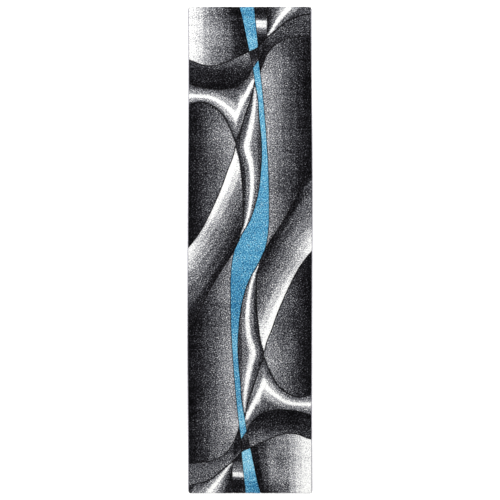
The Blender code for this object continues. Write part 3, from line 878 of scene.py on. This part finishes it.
def makeSerging(side):
    # one turn of yarn, its section drawn on a ring of points and extruded, then repeated along the side
    way = 1 if side == "right" else -1
    low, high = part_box("serged_edge_" + side)
    inner = low[0] if way > 0 else high[0]
    end, wrap, rings = serging["end"], serging["wrap"], serging["rings"]
    count, outer = len(serging["section"]), serging["outside"]
    turns = int(2 * end / wrap)
    nothingSelected()
    bpy.ops.mesh.primitive_circle_add(vertices=count, radius=2.5 * mm, fill_type="NOTHING")
    piece = bpy.context.object
    mesh = piece.data
    piece.name = mesh.name = "sergedEdge" + side.capitalize()
    section = np.array([(inner + way * x * mm, -end, low[2] + z * mm) for x, z in serging["section"]])
    writePlaces(mesh, section)
    bpy.ops.object.mode_set(mode="EDIT")
    bpy.ops.mesh.select_all(action="SELECT")
    for ring in range(rings):
        bpy.ops.mesh.extrude_edges_move(TRANSFORM_OT_translate={"value": (0, wrap / rings, 0)})
    bpy.ops.object.mode_set(mode="OBJECT")
    modify(piece, "turns", "ARRAY", use_relative_offset=False, use_constant_offset=True,
           constant_offset_displace=(0, wrap, 0), count=turns, use_merge_vertices=True,
           merge_threshold=0.02 * mm)
    bpy.ops.object.mode_set(mode="EDIT")
    bpy.ops.mesh.select_all(action="SELECT")
    bpy.ops.mesh.fill_holes(sides=count + 2)
    faceOutwards()

    at = readPlaces(mesh)
    which = ((at[:, None, [0, 2]] - section[None][:, :, [0, 2]]) ** 2).sum(axis=2).argmin(axis=1)
    station = np.rint((at[:, 1] + end) / (wrap / rings)).astype(int)
    turn = station // rings
    yarnSize = np.random.default_rng(31 + way).uniform(*serging["size"], turns + 2)
    yarnShift = np.random.default_rng(41 + way).uniform(-1, 1, turns + 2) * serging["shift"]
    outside = which < outer
    seam = station % rings == 0
    centre = np.array([inner + way * serging["middle"][0] * mm, low[2] + serging["middle"][1] * mm])
    wayOut = at[:, [0, 2]] - centre
    wayOut /= np.linalg.norm(wayOut, axis=1)[:, None]
    push = np.where(seam, -serging["bulge"], (yarnSize[turn] - 1) * 0.5 * serging["bulge"]) * outside
    at[:, 0] += wayOut[:, 0] * push
    at[:, 2] = (at[:, 2] + wayOut[:, 1] * push).clip(low[2])
    order = np.where(outside, which / outer, (count - which) / (count - outer))
    slanting = smoothStep((end - np.abs(at[:, 1])) / serging["slantGrows"])
    at[:, 1] += ((order - 0.5) * serging["slant"] + yarnShift[turn]) * slanting
    tone = np.random.default_rng(51 + way).uniform(0, 1, turns + 2)[turn]
    stripMap(mesh, which / count, serging["mapRows"], -end, 2 * end)
    # painted shade: the seams between turns and the yarn's hidden inside along the slot are darker
    writeYarn(mesh, tone, np.where(seam | ~outside, 0.35, 1.0))
    writePlaces(mesh, at)
    bpy.ops.object.shade_smooth()
    return settleIn(piece, sergingYarn, "serged_edge_" + side)


# pale lilac polyester yarn, soft and slightly shiny, twisted from two plies
sergingYarn = yarnMaterial("polyesterSergingYarn", [(0.0, "#a5a3ab"), (0.5, "#b4b2ba"), (1.0, "#c3c1c9")])


# thread and cord: plies drawn as twisted curves, then turned into meshes

def twistedPlies(name, line, thread):
    # line is a row of points; each ply winds round it
    line = np.array(line)
    run = np.gradient(line, axis=0)
    run /= np.linalg.norm(run, axis=1)[:, None]
    across = np.stack([run[:, 1], -run[:, 0], np.zeros(len(run))], axis=1)
    across /= np.linalg.norm(across, axis=1)[:, None].clip(1e-9)
    over = np.cross(run, across)
    length = np.concatenate([[0], np.cumsum(np.linalg.norm(np.diff(line, axis=0), axis=1))])
    curve = bpy.data.curves.new(name, "CURVE")
    curve.dimensions = "3D"
    curve.bevel_depth = thread["plyRadius"]
    curve.bevel_resolution = 0
    curve.use_fill_caps = True
    for ply in range(thread["plies"]):
        angle = 2 * math.pi * (length / thread["twist"] + ply / thread["plies"])
        winding = np.cos(angle)[:, None] * across + np.sin(angle)[:, None] * over
        points = line + thread["twistRadius"] * winding
        spline = curve.splines.new("POLY")
        spline.points.add(len(points) - 1)
        spline.points.foreach_set("co", np.concatenate([points, np.ones((len(points), 1))], axis=1).ravel())
    piece = bpy.data.objects.new(name, curve)
    bpy.context.scene.collection.objects.link(piece)
    nothingSelected()
    piece.select_set(True)
    bpy.context.view_layer.objects.active = piece
    bpy.ops.object.convert(target="MESH")
    bpy.ops.object.mode_set(mode="EDIT")
    bpy.ops.mesh.select_all(action="SELECT")
    bpy.ops.mesh.remove_doubles(threshold=0.001 * mm)
    faceOutwards()
    bpy.ops.object.shade_smooth()
    return bpy.context.object


selvedgeCord = {
    "step": 2.7 * mm,
    "plies": 3,
    "plyRadius": 0.55 * mm,
    "twistRadius": 0.68 * mm,
    "twist": 16 * mm,
}


def makeCord(side):
    low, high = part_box("selvedge_cord_" + side)
    x, z = (low[0] + high[0]) / 2, (low[2] + high[2]) / 2
    steps = int((high[1] - low[1]) / selvedgeCord["step"])
    line = [(x, y, z) for y in np.linspace(low[1], high[1], steps)]
    piece = twistedPlies("selvedgeCord" + side.capitalize(), line, selvedgeCord)
    return settleIn(piece, cottonCord, "selvedge_cord_" + side)


hemThread = {
    "pitch": 12 * mm,
    "step": 0.75 * mm,
    "inset": 0.3 * mm,         # half the thread's own width
    "point": 0.97,             # how sharp the zigzag's turns are
    "plies": 2,
    "plyRadius": 0.15 * mm,
    "twistRadius": 0.14 * mm,
    "twist": 3.0 * mm,
}


def makeStitching(end):
    # a zigzag of thread that closes the tape's inner edge
    low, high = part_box("hem_stitching_" + end)
    inset, point = hemThread["inset"], hemThread["point"]
    middle, swing = (low[1] + high[1]) / 2, (high[1] - low[1]) / 2 - inset
    steps = int((high[0] - low[0]) / hemThread["step"])
    line = []
    for x in np.linspace(low[0] + inset, high[0] - inset, steps):
        phase = ((x - low[0]) / hemThread["pitch"]) % 1
        zigzag = math.asin(point * math.sin(2 * math.pi * phase)) / math.asin(point)
        line.append((x, middle + swing * zigzag, (low[2] + high[2]) / 2))
    piece = twistedPlies("hemStitching" + end.capitalize(), line, hemThread)
    return settleIn(piece, sewingThread, "hem_stitching_" + end)


def sheetMap(mesh, size):
    # both faces side by side, each seen from above
    at = readPlaces(mesh)
    corners = readValues(mesh.loops, "vertex_index")
    normal = readValues(mesh.polygons, "normal", 3, np.float32)
    under = np.repeat(normal[:, 2] < 0, readValues(mesh.polygons, "loop_total"))
    narrow = np.ptp(at[:, 0]) < 0.5 * size
    u, v = ((at[corners, :2] - at.min(axis=0)[:2]) / size).T
    writeMap(mesh, 0.01 + 0.98 * (u + 0.5 * under * narrow), 0.01 + 0.98 * (v + 0.5 * under * (not narrow)))


def crossings(at, low, high, step):
    # each point's place in the weave, counted in threads across and along
    counted = []
    for i in (0, 1):
        size = high[i] - low[i]
        counted.append(np.rint((at[:, i] - low[i]) / size * round(size / step)).astype(int))
    return counted


def wovenGrid(name, node, step, inset=0):
    # a fine grid as large as the node
    low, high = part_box(node)
    size = [high[i] - low[i] for i in (0, 1)]
    piece = addGrid(name, round(size[0] / step), round(size[1] / step),
                    ((low[0] + high[0]) / 2, (low[1] + high[1]) / 2, 0), [side - 2 * inset for side in size])
    return piece, readPlaces(piece.data), low, high


groundCloth = {
    "thread": 8.0 * mm,
    "rise": 0.28 * mm,
    "thickness": 1.5 * mm,
    "inset": 0.4 * mm,
    "map": 2.42,               # metres along one side of the square that its map stands for
}


def makeGround():
    # the woven ground that holds the tufts: the sheet that the rug is built on
    piece, at, low, high = wovenGrid("groundWeave", "ground_weave", groundCloth["thread"], groundCloth["inset"])
    col, row = crossings(at, low, high, groundCloth["thread"])
    at[:, 2] = (low[2] + high[2]) / 2 + np.where((col + row) % 2, 1, -1) * groundCloth["rise"]
    writePlaces(piece.data, at)
    modify(piece, "thickness", "SOLIDIFY", thickness=groundCloth["thickness"], offset=0)
    bpy.ops.object.shade_smooth()
    sheetMap(piece.data, groundCloth["map"])
    return settleIn(piece, groundWeaveCloth, "ground_weave")


backCloth = {
    "thread": 5.0 * mm,
    "rise": 0.10 * mm,
    "patch": 0.06 * mm,
    "patchSize": (0.03, 0.04),
    "lift": 0.2 * mm,          # of the face above the floor, so that its relief stays clear of it
    "closedBelow": 0.05 * mm,  # and of the closed top below the ground
    "map": 2.42,
}


def makeBack():
    # the underside: latex over a backing weave, its face towards the floor and closed on top
    lift = backCloth["lift"]
    piece, at, low, high = wovenGrid("backCoat", "back_coat", backCloth["thread"])
    at[:, 2] = low[2] + lift
    mesh = piece.data
    writePlaces(mesh, at)
    dropSides(piece, (high[2] - low[2] - lift - backCloth["closedBelow"],))
    at = readPlaces(mesh)
    face = at[:, 2] < low[2] + lift + 0.1 * mm
    col, row = crossings(at, low, high, backCloth["thread"])
    uneven = softNoise(at[:, 0], at[:, 1], *backCloth["patchSize"], 9)
    relief = np.where((col + row) % 2, 1, -1) * backCloth["rise"] + uneven * backCloth["patch"]
    at[face, 2] = (low[2] + lift + relief)[face].clip(low[2])
    writePlaces(mesh, at)
    bpy.ops.object.shade_smooth_by_angle(angle=math.radians(40))
    sheetMap(mesh, backCloth["map"])
    return settleIn(piece, latexBack, "back_coat")


hemTape = {
    "step": 2.5 * mm,
    "rib": 0.03 * mm,
    "wander": (-0.25, 0.1),    # in millimetres, how far its edges stray in and out
    "thickness": 0.55 * mm,
    "edgeWidth": 3 * mm,
    "edgeBead": 0.08 * mm,
    "map": 0.62,
}


def makeTape(end):
    # a narrow woven tape with beaded edges, glued under the cut end
    piece, at, low, high = wovenGrid("hemTape" + end.capitalize(), "hem_tape_" + end, hemTape["step"])
    col, row = crossings(at, low, high, hemTape["step"])
    middle = (low[2] + high[2]) / 2
    local = np.random.default_rng(61 if end == "north" else 62)
    wander = local.uniform(*hemTape["wander"], (2, col.max() + 1)) * mm
    at[:, 1] += np.where(row == 0, -wander[0, col], np.where(row == row.max(), wander[1, col], 0))
    at[:, 2] = middle + np.where((col + 2 * row) % 4 < 2, 1, -1) * hemTape["rib"]
    mesh = piece.data
    writePlaces(mesh, at)
    modify(piece, "thickness", "SOLIDIFY", thickness=hemTape["thickness"], offset=0)
    at = readPlaces(mesh)
    beaded = np.minimum(np.abs(at[:, 1] - low[1]), np.abs(at[:, 1] - high[1])) < hemTape["edgeWidth"]
    at[beaded, 2] += np.sign(at[beaded, 2] - middle) * hemTape["edgeBead"]
    at[:, 2] = at[:, 2].clip(low[2], high[2])
    writePlaces(mesh, at)
    bpy.ops.object.shade_smooth_by_angle(angle=math.radians(50))
    sheetMap(mesh, hemTape["map"])
    return settleIn(piece, twillTape, "hem_tape_" + end)


def wovenMaterial(name, warp, weft, thread, bump, roughness, slanted=False):
    # two sets of threads as bands that cross, with uneven yarn, a little soil in soft patches, and painted shade
    # in the gaps between threads
    material, tree = newMaterial(name)
    where = addNode(tree, "ShaderNodeTexCoord")
    bands = []
    for direction in ("X", "Y") if not slanted else ("DIAGONAL", "X"):
        bands.append(addNode(tree, "ShaderNodeTexWave",
                             {"wave_type": "BANDS", "bands_direction": direction, "wave_profile": "SIN"},
                             {"Scale": 0.314 / thread, "Distortion": 0.6, "Detail": 2.0, "Detail Scale": 3.0},
                             {"Vector": where.outputs["Object"]}))
    both = {0: bands[0].outputs["Fac"], 1: bands[1].outputs["Fac"]}
    which = addNode(tree, "ShaderNodeMath", {"operation": "GREATER_THAN"}, links=both)
    high = addNode(tree, "ShaderNodeMath", {"operation": "MAXIMUM"}, links=both)
    slub = addNode(tree, "ShaderNodeTexNoise", values={"Scale": 140.0, "Detail": 4.0},
                   links={"Vector": where.outputs["Object"]})
    patch = addNode(tree, "ShaderNodeTexNoise", values={"Scale": 9.0, "Detail": 3.0},
                    links={"Vector": where.outputs["Object"]})
    threads = addNode(tree, "ShaderNodeMix", {"data_type": "RGBA"},
                      {6: colour(warp), 7: colour(weft)}, {0: which.outputs["Value"]})
    colourAndPaintedShade = threads.outputs[2]
    # painted shade: the gaps between threads go down to half brightness; the slub noise is uneven yarn and the
    # patch noise soft soil
    for source, span, light in ((high.outputs["Value"], (0.35, 0.85), (0.5, 1.0)),
                                (slub.outputs["Fac"], (0.3, 0.7), (0.86, 1.06)),
                                (patch.outputs["Fac"], (0.35, 0.65), (0.92, 1.03))):
        shade = addNode(tree, "ShaderNodeMapRange", links={"Value": source},
                        values={"From Min": span[0], "From Max": span[1], "To Min": light[0], "To Max": light[1]})
        colourAndPaintedShade = addNode(tree, "ShaderNodeVectorMath", {"operation": "SCALE"},
                       links={"Vector": colourAndPaintedShade, "Scale": shade.outputs["Result"]}).outputs["Vector"]
    height = addNode(tree, "ShaderNodeMath", {"operation": "MULTIPLY_ADD"}, {1: 0.25},
                     {0: slub.outputs["Fac"], 2: high.outputs["Value"]})
    relief = addNode(tree, "ShaderNodeBump", values={"Strength": 0.8, "Distance": bump},
                     links={"Height": height.outputs["Value"]})
    body = addNode(tree, "ShaderNodeBsdfPrincipled",
                   values={"Roughness": roughness, "Specular IOR Level": 0.25, "Sheen Weight": 0.1},
                   links={"Base Color": colourAndPaintedShade, "Normal": relief.outputs["Normal"]})
    addNode(tree, "ShaderNodeOutputMaterial", links={"Surface": body.outputs["BSDF"]})
    return material


def twistMaterial(name, base, pale, twist, roughness):
    # spun thread: slanting plies with fuzz, seen as fine diagonal bands, the darker colour painted as shade in
    # the twist's grooves and the paler as light on its ridges
    material, tree = newMaterial(name)
    where = addNode(tree, "ShaderNodeTexCoord")
    plies = addNode(tree, "ShaderNodeTexWave",
                    {"wave_type": "BANDS", "bands_direction": "DIAGONAL"},
                    {"Scale": 0.314 / twist, "Distortion": 1.5, "Detail": 2.0},
                    {"Vector": where.outputs["Object"]})
    fuzz = addNode(tree, "ShaderNodeTexNoise", values={"Scale": 1500.0, "Detail": 2.0},
                   links={"Vector": where.outputs["Object"]})
    mixed = addNode(tree, "ShaderNodeMath", {"operation": "MULTIPLY_ADD"}, {1: 0.5},
                    {0: fuzz.outputs["Fac"], 2: plies.outputs["Fac"]})
    # painted shade and light: the base colour in the twist's grooves, the pale one on its ridges
    colourAndPaintedShade = addNode(tree, "ShaderNodeMix", {"data_type": "RGBA"}, {6: colour(base), 7: colour(pale)},
                   {0: plies.outputs["Fac"]})
    relief = addNode(tree, "ShaderNodeBump", values={"Strength": 0.6, "Distance": 0.1 * mm},
                     links={"Height": mixed.outputs["Value"]})
    body = addNode(tree, "ShaderNodeBsdfPrincipled",
                   values={"Roughness": roughness, "Specular IOR Level": 0.3, "Sheen Weight": 0.2},
                   links={"Base Color": colourAndPaintedShade.outputs[2], "Normal": relief.outputs["Normal"]})
    addNode(tree, "ShaderNodeOutputMaterial", links={"Surface": body.outputs["BSDF"]})
    return material


# cotton and jute ground, dyed dark so that it doesn't grin through the pile; threads are about 2 mm apart
groundWeaveCloth = wovenMaterial("dyedJuteGroundWeave", "#2c2826", "#211e1f", 2.0 * mm, 0.3 * mm, 0.95)
# foamed latex knifed over a backing weave of about 3 mm, cream, matt, rubbery
latexBack = wovenMaterial("latexCoatedBackingWeave", "#c9c2b2", "#bdb5a4", 3.0 * mm, 0.3 * mm, 0.75)
# cotton twill tape, its diagonal ribs about 1 mm apart, drawn at 1.5 mm so that they show
twillTape = wovenMaterial("cottonTwillTape", "#b4b0bb", "#a5a1ad", 1.5 * mm, 0.2 * mm, 0.9, slanted=True)
# plain cotton cord, three plies, undyed
cottonCord = twistMaterial("undyedCottonCord", "#cfc6b0", "#e2dac6", 1.0 * mm, 0.9)
# polyester sewing thread, two plies
sewingThread = twistMaterial("polyesterSewingThread", "#a9a6b3", "#c8c5d0", 0.6 * mm, 0.6)

ground = makeGround()
others = [makeBack()]
for side in ("left", "right"):
    others += [makeSerging(side), makeCord(side)]
for end in ("north", "south"):
    others += [makeTape(end), makeStitching(end)]
print("ground, back, edges and hems finished")


# floor, light and camera

studio = {
    "floor": "#f4f4f3",
    "skyStrength": 1.38,
    "lampWatts": 115,
    "lampSize": 4.0,
    "lampPlace": (-1.2, 1.6, 4.2),
    "sensor": 36,
    "lens": 110,
    "view": 2.469,             # metres across the picture at the pile's height
}


def paperMaterial():
    # seamless paper backdrop, matt and nearly white
    material, tree = newMaterial("seamlessPaper")
    body = addNode(tree, "ShaderNodeBsdfPrincipled",
                   values={"Base Color": colour(studio["floor"]), "Roughness": 0.9, "Specular IOR Level": 0.1})
    addNode(tree, "ShaderNodeOutputMaterial", links={"Surface": body.outputs["BSDF"]})
    return material


nothingSelected()
bpy.ops.mesh.primitive_plane_add(size=30, location=(0, 0, -0.0005))
floor = bpy.context.object
floor.name = "studioFloor"
bpy.ops.object.transform_apply(location=True, rotation=True, scale=True)
floor.data.materials.append(paperMaterial())

world = bpy.data.worlds.new("softStudio")
world.use_nodes = True
world.node_tree.nodes["Background"].inputs["Color"].default_value = (1, 1, 1, 1)
world.node_tree.nodes["Background"].inputs["Strength"].default_value = studio["skyStrength"]
bpy.context.scene.world = world

bpy.ops.object.light_add(type="AREA", location=studio["lampPlace"])
lamp = bpy.context.object
lamp.name = "softLamp"
lamp.data.shape = "DISK"
lamp.data.size = studio["lampSize"]
lamp.data.energy = studio["lampWatts"]
lampX, lampY, lampZ = studio["lampPlace"]
reach = math.hypot(lampX, lampY)
lamp.rotation_euler = (math.atan2(reach, lampZ), 0, math.atan2(lampX, -lampY) + math.pi)

bpy.ops.object.camera_add()
camera = bpy.context.object
camera.name = "studioCamera"
camera.data.sensor_width = studio["sensor"]
camera.data.lens = studio["lens"]
camera.location = (0, 0, 0.012 + studio["view"] * studio["lens"] / studio["sensor"])
camera.rotation_euler = (0, 0, 0)
camera.data.dof.use_dof = False
bpy.context.scene.camera = camera
bpy.context.scene.view_settings.view_transform = "Standard"
bpy.context.scene.view_settings.look = "None"
